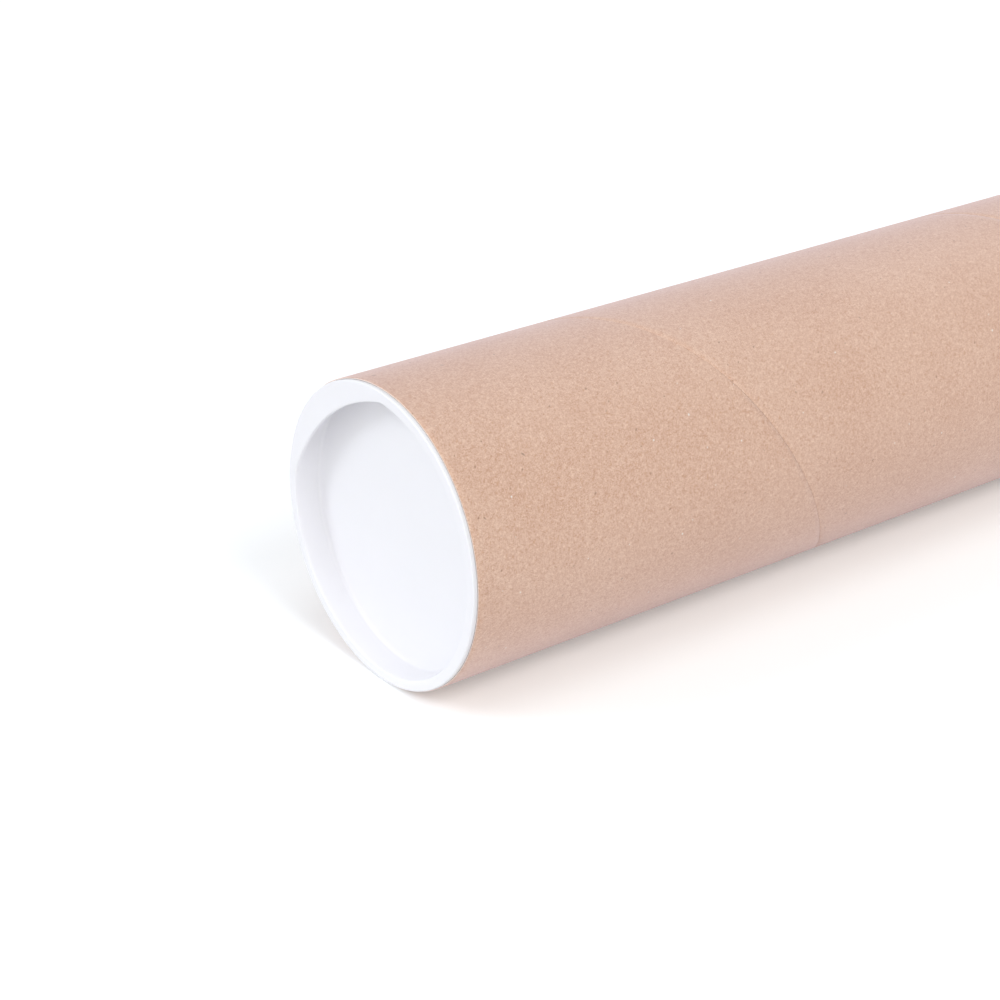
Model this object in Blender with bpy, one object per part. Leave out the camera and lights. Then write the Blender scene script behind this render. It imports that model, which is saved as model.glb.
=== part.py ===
"""Drawing tube: a spiral-wound paper tube closed by a push-in plastic plug at each end.

The tube lies along X with its near end at -X. The origin is on the surface that the tube lies on,
below the middle of the tube. Every radius is half of the size across flats, because each round
surface here is a prism with a flat at the bottom.
"""

from math import acos, atan2, ceil, cos, floor, pi, radians, sin

import bmesh
import bpy
from mathutils import Vector

MM = 0.001

# The tube
TUBE_LENGTH = 635 * MM
TUBE_RADIUS = 40 * MM
FACETS = 32

# The spiral-wound strips, from the outside in: name, thickness, seam stagger as a share of the lead
LEAD = 138.4 * MM
OUTER_SEAM_START = 36.6 * MM
SEAM_GAP = 0.3 * MM
GLUE_GAP = 0.03 * MM
STRIP_TIP = 1.0 * MM
PLIES = (
    ("outer_kraft_ply", 0.30 * MM, 0.0),
    ("core_ply_1", 0.33 * MM, 0.5),
    ("core_ply_2", 0.33 * MM, 0.17),
    ("core_ply_3", 0.33 * MM, 0.67),
    ("core_ply_4", 0.33 * MM, 0.33),
    ("inner_liner_ply", 0.23 * MM, 0.83),
)

# The plug. Depths run into the tube from its cut end, so the rim in front of the end is negative.
RIM_RADIUS = 39.66 * MM
RIM_FRONT = -1.2 * MM
RIM_SEAT = -0.1 * MM
RIM_EDGE = 0.4 * MM
RECESS_RADIUS = 36.8 * MM
SKIRT_RADIUS = 37.7 * MM
FLOOR_FRONT = 6.3 * MM
FLOOR_BACK = 7.5 * MM
SKIRT_END = 14.0 * MM
SKIRT_LEAD_IN = 0.5 * MM
RIB_RADIUS = 37.92 * MM
RIB_DEPTHS = (3.2 * MM, 9.6 * MM)
RIB_WIDTH = 1.8 * MM
RIB_SLOPE = 0.5 * MM

# The crescent-shaped pull lip across the mouth of the recess
LIP_FRONT = -1.05 * MM
LIP_BACK = -0.05 * MM
LIP_DIRECTION = radians(50.8)
LIP_CURVE_RADIUS = 56.8 * MM
LIP_CURVE_OFFSET = 24.2 * MM
LIP_ROOT_RADIUS = 37.3 * MM
LIP_STEPS = 14

# The far plug is the near one turned round and rolled by a whole number of facets.
FAR_PLUG_ROLL_FACETS = 7

FACET_ANGLE = 2 * pi / FACETS
SMOOTH_BELOW = radians(30)


def clear_scene():
    for obj in list(bpy.data.objects):
        bpy.data.objects.remove(obj, do_unlink=True)


def make_material(name, colour, roughness):
    material = bpy.data.materials.new(name)
    material.use_nodes = True
    shader = material.node_tree.nodes["Principled BSDF"]
    shader.inputs["Base Color"].default_value = (*colour, 1)
    shader.inputs["Roughness"].default_value = roughness
    shader.inputs["Metallic"].default_value = 0
    return material


def prism_radius(radius, angle):
    """Distance from the axis to the prism's surface, with a flat centred on angle 0."""
    from_flat = (angle + FACET_ANGLE / 2) % FACET_ANGLE - FACET_ANGLE / 2
    return radius / cos(from_flat)


def on_prism(x, radius, angle):
    """A point on the prism. Angle 0 is +Y and a quarter turn is +Z."""
    distance = prism_radius(radius, angle)
    return Vector((x, distance * cos(angle), distance * sin(angle)))


def object_from(name, points, faces, material, location=(0, 0, 0), rotation=(0, 0, 0)):
    mesh = bpy.data.meshes.new(name)
    mesh.from_pydata(points, [], faces)
    shape = bmesh.new()
    shape.from_mesh(mesh)
    bmesh.ops.recalc_face_normals(shape, faces=shape.faces)
    shape.to_mesh(mesh)
    shape.free()
    mesh.materials.append(material)
    mesh.shade_smooth()
    mesh.set_sharp_from_angle(angle=SMOOTH_BELOW)
    obj = bpy.data.objects.new(name, mesh)
    obj.location = location
    obj.rotation_euler = rotation
    bpy.context.scene.collection.objects.link(obj)
    return obj


def strip_stations(seam_start):
    """The angles where a strip has a cross-section: each facet edge, both tips, both cut corners."""
    angle_per_length = 2 * pi / LEAD
    width = LEAD - SEAM_GAP
    first = (STRIP_TIP - width - seam_start) * angle_per_length
    last = (TUBE_LENGTH - STRIP_TIP - seam_start) * angle_per_length
    near_corner = -seam_start * angle_per_length
    far_corner = (TUBE_LENGTH - width - seam_start) * angle_per_length
    lowest = ceil(first / FACET_ANGLE - 0.5)
    highest = floor(last / FACET_ANGLE - 0.5)
    edges = [(step + 0.5) * FACET_ANGLE for step in range(lowest, highest + 1)]
    return sorted({first, last, near_corner, far_corner, *edges})


def make_ply(name, outer, thickness, stagger, material):
    """One paper strip wound in a spiral, its edges meeting at a butt seam, both ends cut square."""
    seam_start = OUTER_SEAM_START + stagger * LEAD
    inner = outer - thickness
    points = []
    faces = []
    for angle in strip_stations(seam_start):
        seam = seam_start + LEAD * angle / (2 * pi)
        low = max(0, seam) - TUBE_LENGTH / 2
        high = min(TUBE_LENGTH, seam + LEAD - SEAM_GAP) - TUBE_LENGTH / 2
        for x, radius in ((low, outer), (high, outer), (high, inner), (low, inner)):
            points.append(on_prism(x, radius, angle))
    stations = len(points) // 4
    for station in range(stations - 1):
        here = 4 * station
        for side in range(4):
            beside = (side + 1) % 4
            faces.append((here + side, here + beside, here + 4 + beside, here + 4 + side))
    last = 4 * (stations - 1)
    faces.append((0, 1, 2, 3))
    faces.append((last + 3, last + 2, last + 1, last))
    return object_from(name, points, faces, material, location=(0, 0, TUBE_RADIUS))


def make_plies(kraft, board, liner):
    """All the strips, each wound just inside the one before: kraft outside, liner inside, board between."""
    outer = TUBE_RADIUS
    for name, thickness, stagger in PLIES:
        papers = {"outer_kraft_ply": kraft, "inner_liner_ply": liner}
        make_ply(name, outer, thickness, stagger, papers.get(name, board))
        outer -= thickness + GLUE_GAP


def plug_profile():
    """The plug's turned outline as (radius, depth), from the floor's front round to its back."""
    outline = [
        (0, FLOOR_FRONT),
        (RECESS_RADIUS, FLOOR_FRONT),
        (RECESS_RADIUS, RIM_FRONT),
        (RIM_RADIUS - RIM_EDGE, RIM_FRONT),
        (RIM_RADIUS, RIM_FRONT + RIM_EDGE),
        (RIM_RADIUS, RIM_SEAT),
        (SKIRT_RADIUS, RIM_SEAT),
    ]
    for depth in RIB_DEPTHS:
        outline += [
            (SKIRT_RADIUS, depth - RIB_WIDTH / 2),
            (RIB_RADIUS, depth - RIB_WIDTH / 2 + RIB_SLOPE),
            (RIB_RADIUS, depth + RIB_WIDTH / 2 - RIB_SLOPE),
            (SKIRT_RADIUS, depth + RIB_WIDTH / 2),
        ]
    outline += [
        (SKIRT_RADIUS, SKIRT_END - SKIRT_LEAD_IN),
        (SKIRT_RADIUS - SKIRT_LEAD_IN, SKIRT_END),
        (RECESS_RADIUS, SKIRT_END),
        (RECESS_RADIUS, FLOOR_BACK),
        (0, FLOOR_BACK),
    ]
    return outline


def turn_profile(outline):
    """Points and faces of a prism turned about X. The outline starts and ends on the axis."""
    front, back = 0, 1
    points = [Vector((outline[0][1], 0, 0)), Vector((outline[-1][1], 0, 0))]
    first_ring = len(points)
    ring_outline = outline[1:-1]
    for radius, depth in ring_outline:
        for step in range(FACETS):
            points.append(on_prism(depth, radius, (step + 0.5) * FACET_ANGLE))
    last_ring = len(points) - FACETS
    faces = []
    for step in range(FACETS):
        beside = (step + 1) % FACETS
        faces.append((front, first_ring + step, first_ring + beside))
        for here in range(first_ring, last_ring, FACETS):
            further = here + FACETS
            faces.append((here + step, further + step, further + beside, here + beside))
        faces.append((back, last_ring + beside, last_ring + step))
    return points, faces


def lip_outline():
    """The crescent between the recess wall and a flatter curve, as (y, z) points."""
    curve_y = -LIP_CURVE_OFFSET * cos(LIP_DIRECTION)
    curve_z = -LIP_CURVE_OFFSET * sin(LIP_DIRECTION)
    cosine = LIP_CURVE_RADIUS**2 - LIP_ROOT_RADIUS**2 - LIP_CURVE_OFFSET**2
    half_span = acos(cosine / (2 * LIP_ROOT_RADIUS * LIP_CURVE_OFFSET))
    tips = []
    for side in (-1, 1):
        angle = LIP_DIRECTION + side * half_span
        tip_y = LIP_ROOT_RADIUS * cos(angle) - curve_y
        tip_z = LIP_ROOT_RADIUS * sin(angle) - curve_z
        tips.append(atan2(tip_z, tip_y))
    outline = []
    for step in range(LIP_STEPS + 1):
        angle = LIP_DIRECTION - half_span + 2 * half_span * step / LIP_STEPS
        outline.append((LIP_ROOT_RADIUS * cos(angle), LIP_ROOT_RADIUS * sin(angle)))
    for step in range(1, LIP_STEPS):
        angle = tips[1] + (tips[0] - tips[1]) * step / LIP_STEPS
        y = curve_y + LIP_CURVE_RADIUS * cos(angle)
        z = curve_z + LIP_CURVE_RADIUS * sin(angle)
        outline.append((y, z))
    return outline


def make_lip(name, material):
    """The pull lip as a helper that a Boolean joins to its plug."""
    outline = lip_outline()
    count = len(outline)
    points = [Vector((LIP_FRONT, y, z)) for y, z in outline]
    points += [Vector((LIP_BACK, y, z)) for y, z in outline]
    faces = [tuple(range(count)), tuple(reversed(range(count, 2 * count)))]
    for step in range(count):
        beside = (step + 1) % count
        faces.append((step, count + step, count + beside, beside))
    lip = object_from(name, points, faces, material)
    lip.hide_render = True
    lip.display_type = "WIRE"
    return lip


def make_plug(name, end_x, rotation, material):
    """A push-in plug, its origin on the tube's axis in the plane of the tube's cut end."""
    points, faces = turn_profile(plug_profile())
    place = (end_x, 0, TUBE_RADIUS)
    plug = object_from(name, points, faces, material, location=place, rotation=rotation)
    lip = make_lip(name + "_lip_helper", material)
    lip.parent = plug
    union = plug.modifiers.new("pull_lip", "BOOLEAN")
    union.operation = "UNION"
    union.solver = "EXACT"
    union.object = lip
    return plug


def main():
    clear_scene()
    kraft = make_material("kraft_paper", (0.62, 0.42, 0.31), 0.85)
    board = make_material("grey_board", (0.44, 0.36, 0.29), 0.9)
    liner = make_material("liner_paper", (0.52, 0.38, 0.28), 0.8)
    white = make_material("white_polyethylene", (0.90, 0.91, 0.94), 0.45)
    make_plies(kraft, board, liner)
    make_plug("near_end_plug", -TUBE_LENGTH / 2, (0, 0, 0), white)
    roll = FAR_PLUG_ROLL_FACETS * FACET_ANGLE
    make_plug("far_end_plug", TUBE_LENGTH / 2, (roll, 0, pi), white)


main()
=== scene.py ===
"""Drawing tube: a spiral-wound kraft paper tube with a white push-in plug in each end."""

from math import cos, pi, radians, sin

import bmesh
import bpy
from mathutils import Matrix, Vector


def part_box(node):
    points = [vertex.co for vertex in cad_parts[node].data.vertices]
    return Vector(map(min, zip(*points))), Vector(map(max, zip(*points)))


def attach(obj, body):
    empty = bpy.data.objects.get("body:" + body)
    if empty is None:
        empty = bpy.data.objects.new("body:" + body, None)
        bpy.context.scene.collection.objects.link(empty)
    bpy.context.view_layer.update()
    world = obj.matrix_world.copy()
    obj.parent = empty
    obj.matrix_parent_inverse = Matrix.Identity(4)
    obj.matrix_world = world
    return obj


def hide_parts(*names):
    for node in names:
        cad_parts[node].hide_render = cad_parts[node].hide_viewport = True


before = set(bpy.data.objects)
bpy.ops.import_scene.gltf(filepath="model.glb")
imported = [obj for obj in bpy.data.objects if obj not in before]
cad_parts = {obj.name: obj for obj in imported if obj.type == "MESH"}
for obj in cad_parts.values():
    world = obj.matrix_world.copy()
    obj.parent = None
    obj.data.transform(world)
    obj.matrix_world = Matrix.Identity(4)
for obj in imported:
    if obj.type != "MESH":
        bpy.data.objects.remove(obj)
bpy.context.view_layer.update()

MM = 0.001

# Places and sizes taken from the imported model
wall_low, wall_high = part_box("outer_kraft_ply")
TUBE_START = wall_low[0]
TUBE_LENGTH = wall_high[0] - wall_low[0]
TUBE_RADIUS = (wall_high[2] - wall_low[2]) / 2
AXIS_HEIGHT = (wall_high[2] + wall_low[2]) / 2
RIM_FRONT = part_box("near_end_plug")[0][0] - TUBE_START

# The spiral-wound strips, from the outside in: name, thickness, seam stagger as a share of the lead
LEAD = 138.4 * MM
OUTER_SEAM_START = 36.6 * MM
GLUE_GAP = 0.03 * MM
PLIES = (
    ("outer_kraft_ply", 0.30 * MM, 0.0),
    ("core_ply_1", 0.33 * MM, 0.5),
    ("core_ply_2", 0.33 * MM, 0.17),
    ("core_ply_3", 0.33 * MM, 0.67),
    ("core_ply_4", 0.33 * MM, 0.33),
    ("inner_liner_ply", 0.23 * MM, 0.83),
)
SECTIONS_PER_TURN = 144
ROWS_ACROSS = 12
ROWS_CROWDING = 3.2
STRIP_TIP = 0.4 * MM
OUTER_SEAM_GAP = 0.07 * MM
INNER_SEAM_GAP = 0.2 * MM
SEAM_WANDER = 0.25 * MM
SEAM_WAVES_PER_TURN = 5.0
PAPER_EDGE_ROUND = 0.12 * MM

# The plug. Depths run into the tube from its cut end, so the rim in front of the end is negative.
RIM_RADIUS = 39.66 * MM
RIM_SEAT = -0.03 * MM
RECESS_RADIUS = 36.8 * MM
SKIRT_RADIUS = 37.7 * MM
FLOOR_FRONT = 6.3 * MM
FLOOR_BACK = 7.5 * MM
SKIRT_END = 14.0 * MM
RIB_RADIUS = 37.92 * MM
RIB_DEPTHS = (3.2 * MM, 9.6 * MM)
RIB_WIDTH = 1.8 * MM
LIP_BACK = -0.05 * MM
LIP_DIRECTION = radians(50.8)
LIP_CURVE_RADIUS = 56.8 * MM
LIP_CURVE_OFFSET = 24.2 * MM
FAR_PLUG_ROLL = radians(78.75)
PLUG_SECTIONS = 256

WELD_DISTANCE = 0.0001 * MM
SMOOTH_BELOW = radians(35)

# The colours of the papers: the fibres between dark and light, the warm patches, the cut edge
KRAFT_COLOURS = {
    "dark": (0.585, 0.325, 0.212, 1),
    "light": (0.85, 0.62, 0.48, 1),
    "warm": (0.64, 0.355, 0.205, 1),
    "cut": (0.92, 0.85, 0.81, 1),
}
BOARD_COLOURS = {
    "dark": (0.42, 0.33, 0.27, 1),
    "light": (0.62, 0.51, 0.43, 1),
    "warm": (0.40, 0.29, 0.21, 1),
    "cut": (0.66, 0.56, 0.49, 1),
}
LINER_COLOURS = {
    "dark": (0.47, 0.33, 0.25, 1),
    "light": (0.72, 0.54, 0.43, 1),
    "warm": (0.50, 0.31, 0.20, 1),
    "cut": (0.74, 0.62, 0.56, 1),
}
BARK_COLOUR = (0.30, 0.13, 0.07, 1)
SHIVE_COLOUR = (0.22, 0.10, 0.06, 1)
PALE_SPECK_COLOUR = (0.90, 0.88, 0.86, 1)
PAPER_SHEEN_TINT = (1.0, 0.87, 0.95, 1)

# The colours of the white plastic, which drift a little with the flow of the moulding
WHITE_DARKER = (0.878, 0.87, 0.897, 1)
WHITE_LIGHTER = (0.898, 0.89, 0.917, 1)

# The view
CAMERA_FROM_NEAR_END = Vector((-7.2345, -10.6902, 6.3621))
CAMERA_YAW = radians(37.33)
CAMERA_PITCH = radians(25.39)
CAMERA_LENS = 84.33
CAMERA_SENSOR_WIDTH = 36

# The colours of the light
NEUTRAL = (1.0, 1.0, 1.0)
COOL = (0.96, 1.0, 1.06)

# Broad glows in the studio's world: azimuth (0 from +X, 90 from +Y), elevation, strength, colour
GLOWS = (
    (225, 15, 1.27, NEUTRAL),
    (195, 50, 0.47, COOL),
    (135, 15, 0.84, COOL),
    (0, 15, 0.18, NEUTRAL),
)
GLOW_FALLOFF = 4.0
WORLD_FILL = 0.13

# The lamps: name, azimuth, elevation, strength, spread, colour
LAMPS = (
    ("upper back softbox", 151, 33, 0.215, 24, COOL),
    ("overhead softbox", 270, 80, 0.11, 30, NEUTRAL),
    ("front softbox", 269, 43, 0.255, 24, NEUTRAL),
)

# The floor: how it lights the object, and as the eye sees it, with a glow that keeps its shadows light
FLOOR_RADIUS = 6.0
FLOOR_LIGHTING_COLOUR = (0.8, 0.8, 0.8)
FLOOR_SEEN_COLOUR = (0.955, 0.985, 1.0)
FLOOR_SEEN_GLOW = 0.23


class NodeTree:
    """A node tree being built: each method adds a node and returns its main output socket."""

    def __init__(self, tree):
        self.tree = tree

    def node(self, kind, inputs=None, **settings):
        made = self.tree.nodes.new(kind)
        for name, value in settings.items():
            setattr(made, name, value)
        for key, value in (inputs or {}).items():
            self.feed(made.inputs[key], value)
        return made

    def feed(self, socket, value):
        if isinstance(value, bpy.types.NodeSocket):
            self.tree.links.new(value, socket)
        else:
            socket.default_value = value

    def maths(self, operation, first, second=0.0, third=0.0):
        made = self.node("ShaderNodeMath", operation=operation)
        for socket, value in zip(made.inputs, (first, second, third)):
            self.feed(socket, value)
        return made.outputs[0]

    def blend(self, factor, first, second):
        """A number that goes from first to second as factor goes from 0 to 1."""
        span = self.maths("SUBTRACT", second, first)
        return self.maths("MULTIPLY_ADD", factor, span, first)


# ---------------------------------------------------------------------------- geometry of the strips


def add_input(tree, name, kind):
    tree.interface.new_socket(name, in_out="INPUT", socket_type=kind)


def strip_tree():
    """Geometry Nodes: a thin box of paper wound into a spiral strip and cut square at both ends."""
    tree = bpy.data.node_groups.new("wound paper strip", "GeometryNodeTree")
    for name in (
        "Tube Length", "Outer Radius", "Thickness", "Lead", "Seam Start",
        "Seam Gap", "Seam Wander", "Edge Round", "Axis Height", "Tube Start",
    ):
        add_input(tree, name, "NodeSocketFloat")
    add_input(tree, "Sections", "NodeSocketInt")
    add_input(tree, "Paper", "NodeSocketMaterial")
    tree.interface.new_socket("Geometry", in_out="OUTPUT", socket_type="NodeSocketGeometry")
    t = NodeTree(tree)
    sizes = t.node("NodeGroupInput").outputs
    lead = sizes["Lead"]
    length = sizes["Tube Length"]

    box = t.node("GeometryNodeMeshCube", {
        "Size": (1, 1, 1), "Vertices X": sizes["Sections"],
        "Vertices Y": ROWS_ACROSS, "Vertices Z": 2,
    })
    place = t.node("ShaderNodeSeparateXYZ", {0: t.node("GeometryNodeInputPosition").outputs[0]})
    along = t.maths("ADD", place.outputs["X"], 0.5)
    across = place.outputs["Y"]
    depth = t.maths("ADD", place.outputs["Z"], 0.5)

    # The strip starts and ends as a narrow tip where the square cut leaves its last corner.
    first_seam = t.maths("SUBTRACT", STRIP_TIP, lead)
    last_seam = t.maths("SUBTRACT", length, STRIP_TIP)
    seam = t.blend(along, first_seam, last_seam)
    turns = t.maths("DIVIDE", t.maths("SUBTRACT", seam, sizes["Seam Start"]), lead)
    angle = t.maths("MULTIPLY", turns, 2 * pi)

    # Both edges of a seam wander together, so the gap stays small and never closes.
    def edge_wander(seam_turns):
        noise = t.node("ShaderNodeTexNoise", {
            "W": seam_turns, "Scale": SEAM_WAVES_PER_TURN, "Detail": 3.0,
        }, noise_dimensions="1D")
        centred = t.maths("SUBTRACT", noise.outputs["Fac"], 0.5)
        return t.maths("MULTIPLY", centred, sizes["Seam Wander"])

    half_gap = t.maths("MULTIPLY", sizes["Seam Gap"], 0.5)
    low = t.maths("ADD", t.maths("ADD", seam, half_gap), edge_wander(turns))
    low = t.maths("MAXIMUM", low, 0.0)
    next_edge = t.maths("SUBTRACT", t.maths("ADD", seam, lead), half_gap)
    high = t.maths("ADD", next_edge, edge_wander(t.maths("ADD", turns, 1.0)))
    high = t.maths("MINIMUM", high, length)

    # The rows crowd towards the two long edges, where the paper's edge is rounded.
    side = t.maths("SIGN", across)
    doubled = t.maths("MULTIPLY", t.maths("ABSOLUTE", across), 2.0)
    thinned = t.maths("POWER", t.maths("SUBTRACT", 1.0, doubled), ROWS_CROWDING)
    crowded = t.maths("SUBTRACT", 1.0, thinned)
    share = t.maths("MULTIPLY_ADD", t.maths("MULTIPLY", side, crowded), 0.5, 0.5)
    x = t.blend(share, low, high)
    from_edge = t.maths("MINIMUM", t.maths("SUBTRACT", x, low), t.maths("SUBTRACT", high, x))
    inwards = t.maths("DIVIDE", from_edge, sizes["Edge Round"])
    short = t.maths("SUBTRACT", 1.0, t.maths("MINIMUM", inwards, 1.0))
    drop = t.maths("MULTIPLY", t.maths("MULTIPLY", short, short), sizes["Edge Round"])
    drop = t.maths("MULTIPLY", drop, depth)

    inner = t.maths("SUBTRACT", sizes["Outer Radius"], sizes["Thickness"])
    radius = t.maths("SUBTRACT", t.blend(depth, inner, sizes["Outer Radius"]), drop)
    position = t.node("ShaderNodeCombineXYZ", {
        "X": t.maths("ADD", x, sizes["Tube Start"]),
        "Y": t.maths("MULTIPLY", radius, t.maths("COSINE", angle)),
        "Z": t.maths("MULTIPLY_ADD", radius, t.maths("SINE", angle), sizes["Axis Height"]),
    })
    unrolled = t.node("ShaderNodeCombineXYZ", {
        "X": x,
        "Y": t.maths("MULTIPLY", angle, sizes["Outer Radius"]),
        "Z": radius,
    })
    stored = t.node("GeometryNodeStoreNamedAttribute", {
        "Geometry": box.outputs["Mesh"], "Name": "unrolled", "Value": unrolled.outputs[0],
    }, data_type="FLOAT_VECTOR", domain="POINT")
    wound = t.node("GeometryNodeSetPosition", {
        "Geometry": stored.outputs[0], "Position": position.outputs[0],
    })
    real = t.node("GeometryNodeRealizeInstances", {"Geometry": wound.outputs[0]})
    finished = t.node("GeometryNodeSetMaterial", {
        "Geometry": real.outputs[0], "Material": sizes["Paper"],
    })
    t.node("NodeGroupOutput", {"Geometry": finished.outputs[0]})
    return tree


def run_tree(name, tree, values):
    """An object with the tree's result as its plain mesh."""
    carrier = bpy.data.objects.new(name + " carrier", bpy.data.meshes.new(name + " start"))
    bpy.context.scene.collection.objects.link(carrier)
    modifier = carrier.modifiers.new("tree", "NODES")
    modifier.node_group = tree
    for socket in tree.interface.items_tree:
        if socket.in_out == "INPUT" and socket.name in values:
            modifier[socket.identifier] = values[socket.name]
    graph = bpy.context.evaluated_depsgraph_get()
    mesh = bpy.data.meshes.new_from_object(carrier.evaluated_get(graph), depsgraph=graph)
    bpy.data.objects.remove(carrier, do_unlink=True)
    mesh.name = name
    piece = bpy.data.objects.new(name, mesh)
    bpy.context.scene.collection.objects.link(piece)
    return piece


def face_outwards(piece):
    """Merge doubled points, turn every face outwards and shade the soft edges smooth."""
    shape = bmesh.new()
    shape.from_mesh(piece.data)
    bmesh.ops.remove_doubles(shape, verts=shape.verts, dist=WELD_DISTANCE)
    bmesh.ops.recalc_face_normals(shape, faces=shape.faces)
    shape.to_mesh(piece.data)
    shape.free()
    piece.data.shade_smooth()
    piece.data.set_sharp_from_angle(angle=SMOOTH_BELOW)


def make_strips(papers):
    """Every strip of the tube, each wound just inside the one before."""
    tree = strip_tree()
    outer = TUBE_RADIUS
    turns = (TUBE_LENGTH + LEAD) / LEAD
    for name, thickness, stagger in PLIES:
        outermost = name == PLIES[0][0]
        strip = run_tree(name.replace("ply", "strip"), tree, {
            "Tube Length": TUBE_LENGTH,
            "Outer Radius": outer,
            "Thickness": thickness,
            "Lead": LEAD,
            "Seam Start": OUTER_SEAM_START + stagger * LEAD,
            "Seam Gap": OUTER_SEAM_GAP if outermost else INNER_SEAM_GAP,
            "Seam Wander": SEAM_WANDER,
            "Edge Round": PAPER_EDGE_ROUND,
            "Axis Height": AXIS_HEIGHT,
            "Tube Start": TUBE_START,
            "Sections": round(turns * SECTIONS_PER_TURN),
            "Paper": papers[name],
        })
        face_outwards(strip)
        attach(strip, "tube")
        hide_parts(name)
        outer -= thickness + GLUE_GAP


# ---------------------------------------------------------------------------- geometry of the plugs


def rounded_outline(corners):
    """Points along an outline of (radius, depth, rounding, steps) corners, each turned in an arc.

    Two corners may fall together, as the lip's do where there is no lip.
    """
    points = []
    last = len(corners) - 1
    for index, (radius, depth, rounding, steps) in enumerate(corners):
        here = Vector((radius, depth))
        if index in (0, last) or not steps:
            points.append(here)
            continue
        before = Vector(corners[index - 1][:2]) - here
        after = Vector(corners[index + 1][:2]) - here
        reach = min(rounding, 0.49 * before.length, 0.49 * after.length)
        start = here + before.normalized() * reach if before.length else here
        end = here + after.normalized() * reach if after.length else here
        for step in range(steps + 1):
            part = step / steps
            bend = here * (2 * part * (1 - part))
            points.append(start * (1 - part) ** 2 + bend + end * part**2)
    return points


def lip_reach(angle):
    """Distance from the axis to the opening's edge: the recess wall, or nearer where the lip is."""
    turned = angle - LIP_DIRECTION
    across = LIP_CURVE_OFFSET * sin(turned)
    reach = (LIP_CURVE_RADIUS**2 - across**2) ** 0.5 - LIP_CURVE_OFFSET * cos(turned)
    return min(RECESS_RADIUS, reach)


def plug_outline(angle):
    """The plug's outline at one angle, from the middle of the floor's front round to its back."""
    edge = lip_reach(angle)
    corners = [
        (0, FLOOR_FRONT, 0, 0),
        (0.5 * RECESS_RADIUS, FLOOR_FRONT, 0, 0),
        (RECESS_RADIUS - 2.4 * MM, FLOOR_FRONT, 0, 0),
        (RECESS_RADIUS, FLOOR_FRONT, 1.9 * MM, 7),
        (RECESS_RADIUS, 0.5 * FLOOR_FRONT, 0, 0),
        (RECESS_RADIUS, LIP_BACK, 0.5 * MM, 3),
        (edge, LIP_BACK, 0.35 * MM, 4),
        (edge, RIM_FRONT, 0.35 * MM, 4),
        (RIM_RADIUS - 0.9 * MM, RIM_FRONT, 0, 0),
        (RIM_RADIUS, RIM_FRONT, 0.55 * MM, 6),
        (RIM_RADIUS, RIM_SEAT, 0.15 * MM, 2),
        (SKIRT_RADIUS, RIM_SEAT, 0.15 * MM, 2),
    ]
    for depth in RIB_DEPTHS:
        corners += [
            (SKIRT_RADIUS, depth - 0.5 * RIB_WIDTH, 0.2 * MM, 2),
            (RIB_RADIUS, depth - 0.25 * RIB_WIDTH, 0.3 * MM, 2),
            (RIB_RADIUS, depth + 0.25 * RIB_WIDTH, 0.3 * MM, 2),
            (SKIRT_RADIUS, depth + 0.5 * RIB_WIDTH, 0.2 * MM, 2),
        ]
    corners += [
        (SKIRT_RADIUS, SKIRT_END - 0.8 * MM, 0.4 * MM, 2),
        (SKIRT_RADIUS - 0.4 * MM, SKIRT_END, 0.3 * MM, 3),
        (RECESS_RADIUS, SKIRT_END, 0.15 * MM, 2),
        (RECESS_RADIUS, FLOOR_BACK, 1.0 * MM, 4),
        (RECESS_RADIUS - 2.0 * MM, FLOOR_BACK, 0, 0),
        (0, FLOOR_BACK, 0, 0),
    ]
    return rounded_outline(corners)


def make_plug(name, node, body, material, end_x, into_tube, roll):
    """A turned plug whose lip reaches in across part of its mouth. into_tube is +1 or -1 along X."""
    rings = []
    points = []
    for section in range(PLUG_SECTIONS):
        angle = 2 * pi * section / PLUG_SECTIONS
        ring = []
        for radius, depth in plug_outline(angle):
            y = radius * cos(angle + roll) * into_tube
            z = radius * sin(angle + roll)
            ring.append(len(points))
            points.append((end_x + into_tube * depth, y, AXIS_HEIGHT + z))
        rings.append(ring)
    faces = []
    for section, ring in enumerate(rings):
        beside = rings[(section + 1) % PLUG_SECTIONS]
        for step in range(len(ring) - 1):
            faces.append((ring[step], ring[step + 1], beside[step + 1], beside[step]))
    mesh = bpy.data.meshes.new(name)
    mesh.from_pydata(points, [], faces)
    mesh.materials.append(material)
    plug = bpy.data.objects.new(name, mesh)
    bpy.context.scene.collection.objects.link(plug)
    face_outwards(plug)
    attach(plug, body)
    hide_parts(node)


# ---------------------------------------------------------------------------- materials


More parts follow.
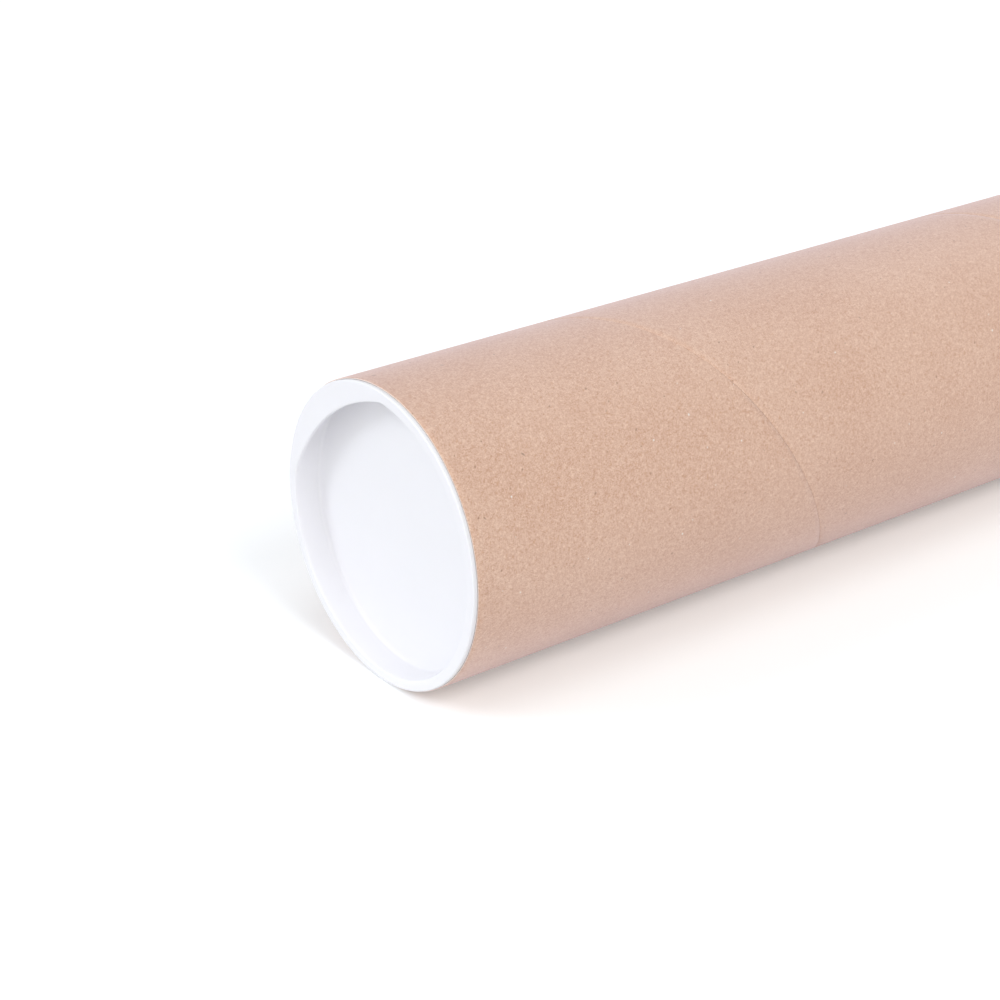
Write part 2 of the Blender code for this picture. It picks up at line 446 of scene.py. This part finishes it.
class Surface(NodeTree):
    """A material being built: textures are given in millimetres on the piece."""

    def __init__(self, name):
        self.material = bpy.data.materials.new(name)
        self.material.use_nodes = True
        super().__init__(self.material.node_tree)
        self.shader = self.tree.nodes["Principled BSDF"]
        self.millimetres = None

    def even(self, values):
        """Numbers and colours that are the same all over the surface, by the shader's socket."""
        for name, value in values.items():
            self.shader.inputs[name].default_value = value

    def use_unrolled(self):
        """Patterns follow the paper: along the tube, round it, and out from its axis."""
        paper = self.node("ShaderNodeAttribute", attribute_name="unrolled")
        self.millimetres = self.scaled(paper.outputs["Vector"], 1 / MM)

    def use_object(self, centre):
        """Patterns lie in space about a centre on the piece."""
        place = self.node("ShaderNodeTexCoord").outputs["Object"]
        centred = self.node("ShaderNodeVectorMath", {0: place, 1: centre}, operation="SUBTRACT")
        self.millimetres = self.scaled(centred.outputs[0], 1 / MM)

    def scaled(self, vector, factor):
        made = self.node("ShaderNodeVectorMath", {0: vector, "Scale": factor}, operation="SCALE")
        return made.outputs[0]

    def turned(self, turn=0.0, stretch=(1, 1, 1), shift=(0, 0, 0)):
        """The millimetre coordinates turned about their third axis, then divided by a grain size."""
        made = self.node("ShaderNodeMapping", {
            "Vector": self.millimetres,
            "Location": shift,
            "Rotation": (0, 0, turn),
        }, vector_type="POINT")
        sized = self.node("ShaderNodeVectorMath", {0: made.outputs[0], 1: stretch},
                          operation="DIVIDE")
        return sized.outputs[0]

    def noise(self, coordinates, detail=2.0, roughness=0.5, distortion=0.0):
        made = self.node("ShaderNodeTexNoise", {
            "Vector": coordinates, "Scale": 1.0, "Detail": detail,
            "Roughness": roughness, "Distortion": distortion,
        })
        return made.outputs["Fac"]

    def flecks(self, coordinates, share, size):
        """Sparse specks: one in each cell of the pattern that is picked by chance."""
        cells = self.node("ShaderNodeTexVoronoi", {"Vector": coordinates, "Scale": 1.0})
        chance = self.node("ShaderNodeSeparateColor", {0: cells.outputs["Color"]})
        picked = self.maths("LESS_THAN", chance.outputs[0], share)
        reach = self.maths("MULTIPLY", self.blend(chance.outputs[1], 0.4, 1.0), size)
        inside = self.node("ShaderNodeMapRange", {
            "Value": cells.outputs["Distance"], "From Min": self.maths("MULTIPLY", reach, 0.5),
            "From Max": reach, "To Min": 1.0, "To Max": 0.0,
        })
        return self.maths("MULTIPLY", inside.outputs[0], picked)

    def tinted(self, factor, first, second):
        """A colour that goes from first to second with factor."""
        made = self.node("ShaderNodeMix", data_type="RGBA")
        for name, value in (("Factor_Float", factor), ("A_Color", first), ("B_Color", second)):
            socket = next(s for s in made.inputs if s.identifier == name)
            self.feed(socket, value)
        return next(s for s in made.outputs if s.identifier == "Result_Color")

    def sum_of(self, *parts):
        """The middle grey plus each pattern's swing about it: (pattern, strength) pairs."""
        total = 0.5
        for pattern, strength in parts:
            total = self.maths("MULTIPLY_ADD", self.maths("SUBTRACT", pattern, 0.5), strength, total)
        return total

    def bump(self, height, strength, distance):
        made = self.node("ShaderNodeBump", {
            "Height": height, "Strength": strength, "Distance": distance,
        })
        self.feed(self.shader.inputs["Normal"], made.outputs[0])


def paper_grain(paper):
    """Matted fibres: fine streaks laid in three directions over a finer and a softer mottle."""
    streaks = []
    for turn, shift in ((0.45, 0), (1.5, 31), (2.55, 57)):
        laid = paper.turned(turn, stretch=(1.1, 0.26, 0.26), shift=(shift, shift, 0))
        streaks.append(paper.noise(laid, detail=2.0, roughness=0.6, distortion=0.4))
    fine = paper.noise(paper.turned(stretch=(0.24, 0.24, 0.24)), detail=2.0, roughness=0.7)
    mottle = paper.noise(paper.turned(stretch=(1.6, 1.2, 1.2)), detail=3.0, roughness=0.6)
    cloud = paper.noise(paper.turned(stretch=(22, 22, 22)), detail=1.0)
    return streaks, fine, mottle, cloud


def cut_edge_mask(paper):
    """1 on the square cut at each end of the tube and 0 elsewhere, in millimetres along the tube."""
    place = paper.node("ShaderNodeSeparateXYZ", {0: paper.millimetres})
    depth = 0.02
    near = paper.maths("LESS_THAN", place.outputs["X"], depth)
    far = paper.maths("GREATER_THAN", place.outputs["X"], TUBE_LENGTH / MM - depth)
    return paper.maths("MAXIMUM", near, far)


def make_paper(name, colours, sheen, fleck_share):
    """Uncoated paper: matted fibres, dark and pale flecks, and a paler cut edge."""
    paper = Surface(name)
    paper.use_unrolled()
    streaks, fine, mottle, cloud = paper_grain(paper)
    tone = paper.sum_of(
        (streaks[0], 1.2), (streaks[1], 1.2), (streaks[2], 1.2),
        (fine, 1.5), (mottle, 0.6), (cloud, 0.25),
    )
    colour = paper.tinted(tone, colours["dark"], colours["light"])
    warmth = paper.noise(paper.turned(1.0, stretch=(1.3, 0.8, 0.8), shift=(11, 5, 0)), detail=3.0)
    warmth = paper.node("ShaderNodeMapRange", {
        "Value": warmth, "From Min": 0.56, "From Max": 0.74, "To Min": 0.0, "To Max": 0.5,
    }).outputs[0]
    colour = paper.tinted(warmth, colour, colours["warm"])
    bark = paper.flecks(paper.turned(0.7, stretch=(3.4, 2.2, 2.2)), fleck_share, 0.16)
    colour = paper.tinted(paper.maths("MULTIPLY", bark, 0.55), colour, BARK_COLOUR)
    shives = paper.flecks(paper.turned(2.2, stretch=(7.0, 3.2, 3.2), shift=(90, 0, 0)),
                          0.5 * fleck_share, 0.11)
    colour = paper.tinted(paper.maths("MULTIPLY", shives, 0.6), colour, SHIVE_COLOUR)
    pale = paper.flecks(paper.turned(1.2, stretch=(4.4, 3.4, 3.4), shift=(0, 70, 0)),
                        1.6 * fleck_share, 0.095)
    colour = paper.tinted(paper.maths("MULTIPLY", pale, 0.8), colour, PALE_SPECK_COLOUR)
    on_cut = paper.maths("MULTIPLY", cut_edge_mask(paper), 0.8)
    colour = paper.tinted(on_cut, colour, colours["cut"])
    paper.feed(paper.shader.inputs["Base Color"], colour)
    relief = paper.sum_of((streaks[0], 0.6), (streaks[1], 0.6), (streaks[2], 0.6), (fine, 0.8))
    paper.bump(relief, 0.5, 0.03 * MM)
    rough = paper.node("ShaderNodeMapRange", {"Value": tone, "To Min": 0.95, "To Max": 0.78})
    paper.feed(paper.shader.inputs["Roughness"], rough.outputs[0])
    paper.even({
        "Sheen Weight": sheen,
        "Sheen Roughness": 0.54,
        "Sheen Tint": PAPER_SHEEN_TINT,
        "Specular IOR Level": 0.35,
    })
    return paper.material


def make_kraft():
    return make_paper("kraft paper", KRAFT_COLOURS, sheen=0.66, fleck_share=0.3)


def make_board():
    return make_paper("core board", BOARD_COLOURS, sheen=0.1, fleck_share=0.45)


def make_liner():
    return make_paper("liner paper", LINER_COLOURS, sheen=0.1, fleck_share=0.35)


def make_white():
    """Moulded polyethylene: a satin, faintly waxy white with a very fine moulded texture."""
    white = Surface("white polyethylene")
    white.use_object(centre=(0, 0, AXIS_HEIGHT))
    flow = white.noise(white.turned(stretch=(9, 14, 14)), detail=3.0, roughness=0.6)
    colour = white.tinted(flow, WHITE_DARKER, WHITE_LIGHTER)
    white.feed(white.shader.inputs["Base Color"], colour)
    grain = white.noise(white.turned(stretch=(0.35, 0.35, 0.35)), detail=2.0)
    scuffs = white.noise(white.turned(0.6, stretch=(5.0, 5.0, 0.5)), detail=4.0, roughness=0.7)
    rough = white.sum_of((grain, 0.25), (scuffs, 0.5))
    rough = white.node("ShaderNodeMapRange", {"Value": rough, "To Min": 0.34, "To Max": 0.56})
    white.feed(white.shader.inputs["Roughness"], rough.outputs[0])
    white.bump(white.sum_of((grain, 1.0), (flow, 2.0)), 0.12, 0.02 * MM)
    white.even({
        "Subsurface Weight": 0.15,
        "Subsurface Radius": (2.4 * MM, 2.4 * MM, 2.8 * MM),
        "Subsurface Scale": 1.0,
        "Specular IOR Level": 0.45,
    })
    return white.material


# ---------------------------------------------------------------------------- studio


def seen_directly(tree):
    """1 for what the eye sees, straight, mirrored or through glass, and 0 for what lights things."""
    path = tree.node("ShaderNodeLightPath").outputs
    mirrored = tree.maths("MAXIMUM", path["Is Glossy Ray"], path["Is Transmission Ray"])
    return tree.maths("MAXIMUM", path["Is Camera Ray"], mirrored)


def make_floor_paper():
    """A white background paper: it looks fully white where nothing shades it, and keeps the shadow."""
    sheet = Surface("pale floor")
    seen = seen_directly(sheet)
    colour = sheet.tinted(seen, (*FLOOR_LIGHTING_COLOUR, 1), (*FLOOR_SEEN_COLOUR, 1))
    sheet.feed(sheet.shader.inputs["Base Color"], colour)
    glow = sheet.maths("MULTIPLY", seen, FLOOR_SEEN_GLOW)
    sheet.feed(sheet.shader.inputs["Emission Strength"], glow)
    sheet.even({"Emission Color": (1, 1, 1, 1), "Roughness": 1.0, "Specular IOR Level": 0.0})
    return sheet.material


def make_floor():
    mesh = bpy.data.meshes.new("floor")
    shape = bmesh.new()
    bmesh.ops.create_circle(shape, cap_ends=True, segments=96, radius=FLOOR_RADIUS)
    shape.to_mesh(mesh)
    shape.free()
    floor = bpy.data.objects.new("floor", mesh)
    bpy.context.scene.collection.objects.link(floor)
    mesh.materials.append(make_floor_paper())


def towards(azimuth, elevation):
    """The direction of a light. Azimuth 0 is +X and 90 is +Y."""
    around, above = radians(azimuth), radians(elevation)
    return Vector((cos(above) * cos(around), cos(above) * sin(around), sin(above)))


def make_lamp(name, azimuth, elevation, strength, spread, colour):
    """A softbox far away. A strength of 1 fully lights white, and spread is its width in degrees."""
    lamp = bpy.data.lights.new(name, "SUN")
    lamp.energy = strength * pi
    lamp.color = colour
    lamp.angle = radians(spread)
    holder = bpy.data.objects.new(name, lamp)
    holder.rotation_euler = towards(azimuth, elevation).to_track_quat("Z", "Y").to_euler()
    bpy.context.scene.collection.objects.link(holder)


def make_world():
    """A white room: it is seen white, and lights the object by broad glows over an even fill."""
    world = bpy.data.worlds.new("studio")
    bpy.context.scene.world = world
    world.use_nodes = True
    room = NodeTree(world.node_tree)
    direction = room.node("ShaderNodeTexCoord").outputs["Generated"]
    light = (WORLD_FILL, WORLD_FILL, WORLD_FILL)
    for azimuth, elevation, strength, colour in GLOWS:
        facing = room.node("ShaderNodeVectorMath", {0: direction, 1: towards(azimuth, elevation)},
                           operation="DOT_PRODUCT").outputs["Value"]
        glow = room.maths("POWER", room.maths("MAXIMUM", facing, 0.0), GLOW_FALLOFF)
        shine = room.node("ShaderNodeVectorMath", {0: Vector(colour) * strength, "Scale": glow},
                          operation="SCALE").outputs[0]
        light = room.node("ShaderNodeVectorMath", {0: light, 1: shine}, operation="ADD").outputs[0]
    shown = room.node("ShaderNodeMix", {0: seen_directly(room), 4: light, 5: (1, 1, 1)},
                      data_type="VECTOR").outputs[1]
    background = world.node_tree.nodes["Background"]
    room.feed(background.inputs["Color"], shown)
    background.inputs["Strength"].default_value = 1


def make_lights():
    make_world()
    for name, *settings in LAMPS:
        make_lamp(name, *settings)


def make_camera():
    data = bpy.data.cameras.new("camera")
    data.lens = CAMERA_LENS
    data.sensor_width = CAMERA_SENSOR_WIDTH
    camera = bpy.data.objects.new("camera", data)
    near_end = Vector((TUBE_START, 0, AXIS_HEIGHT))
    camera.location = near_end + CAMERA_FROM_NEAR_END * TUBE_RADIUS
    camera.rotation_euler = (pi / 2 - CAMERA_PITCH, 0, -CAMERA_YAW)
    bpy.context.scene.collection.objects.link(camera)
    bpy.context.scene.camera = camera


def main():
    bpy.context.scene.view_settings.view_transform = "Standard"
    board = make_board()
    papers = {name: board for name, _, _ in PLIES}
    papers["outer_kraft_ply"] = make_kraft()
    papers["inner_liner_ply"] = make_liner()
    make_strips(papers)
    white = make_white()
    tube_end = TUBE_START + TUBE_LENGTH
    make_plug("near_plug_shell", "near_end_plug", "near_plug", white, TUBE_START, 1, 0)
    make_plug("far_plug_shell", "far_end_plug", "far_plug", white, tube_end, -1, FAR_PLUG_ROLL)
    make_floor()
    make_lights()
    make_camera()


main()
